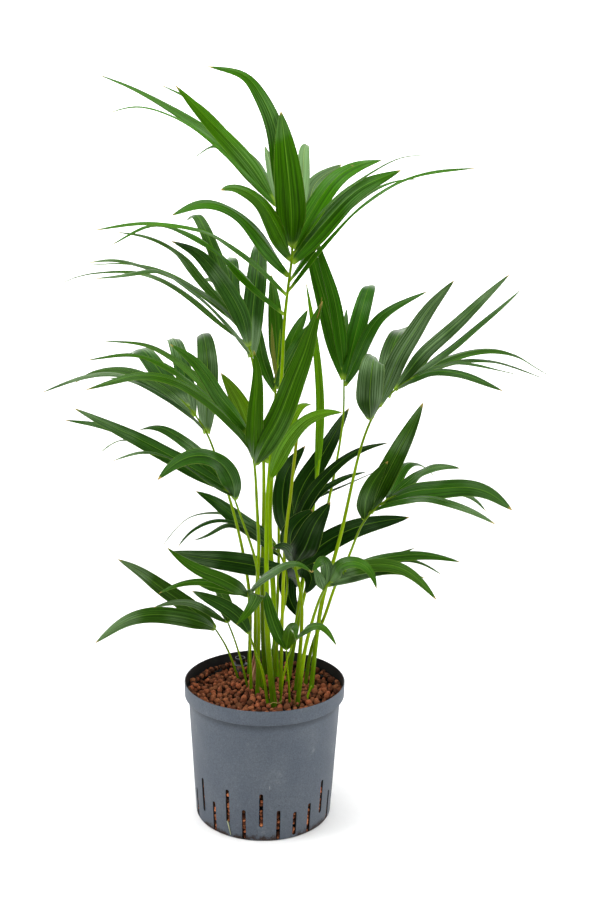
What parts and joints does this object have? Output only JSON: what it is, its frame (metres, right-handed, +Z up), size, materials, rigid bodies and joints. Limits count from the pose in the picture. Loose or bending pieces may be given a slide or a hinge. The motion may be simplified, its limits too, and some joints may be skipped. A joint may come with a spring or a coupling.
{
  "type": "potted palm",
  "caption": "Potted kentia palm: arching fronds of long pointed leaflets on thin stalks, in a slotted round pot of clay granules with a water gauge.",
  "frame": {"origin": "middle of the pot's flat underside", "axes": "+Z up through the plant; -Y is the front"},
  "size_m": [0.7071, 0.561, 1.0028],
  "materials": {
    "pot_plastic": "matte blue-grey, black inside, with scuffs",
    "baked_clay": "rough reddish brown baked clay",
    "clear_plastic": "clear, glossy",
    "black_plastic": "black, glossy, with pale worn edges",
    "red_plastic": "glossy red",
    "palm_green": "deep green and slightly glossy above, paler below"
  },
  "bodies": {
    "root": {"culture_pot": "pot_plastic", "clay_granules": "baked_clay", "gauge_tube": "clear_plastic", "gauge_cap": "black_plastic", "gauge_float": "red_plastic", "frond_top": "palm_green", "frond_upper_left": "palm_green", "frond_middle_left": "palm_green", "frond_front": "palm_green", "frond_centre": "palm_green", "frond_centre_back": "palm_green", "spear_leaf": "palm_green", "cut_stalk": "palm_green", "frond_upper_right": "palm_green", "frond_right": "palm_green", "frond_middle_right": "palm_green", "frond_lower_right": "palm_green", "frond_inner_right": "palm_green", "frond_inner_left": "palm_green", "frond_lower_left": "palm_green", "frond_young": "palm_green", "seedling_left": "palm_green", "seedling_left_inner": "palm_green", "seedling_front_left": "palm_green", "seedling_front": "palm_green", "seedling_front_right": "palm_green"}
  },
  "joints": []
}
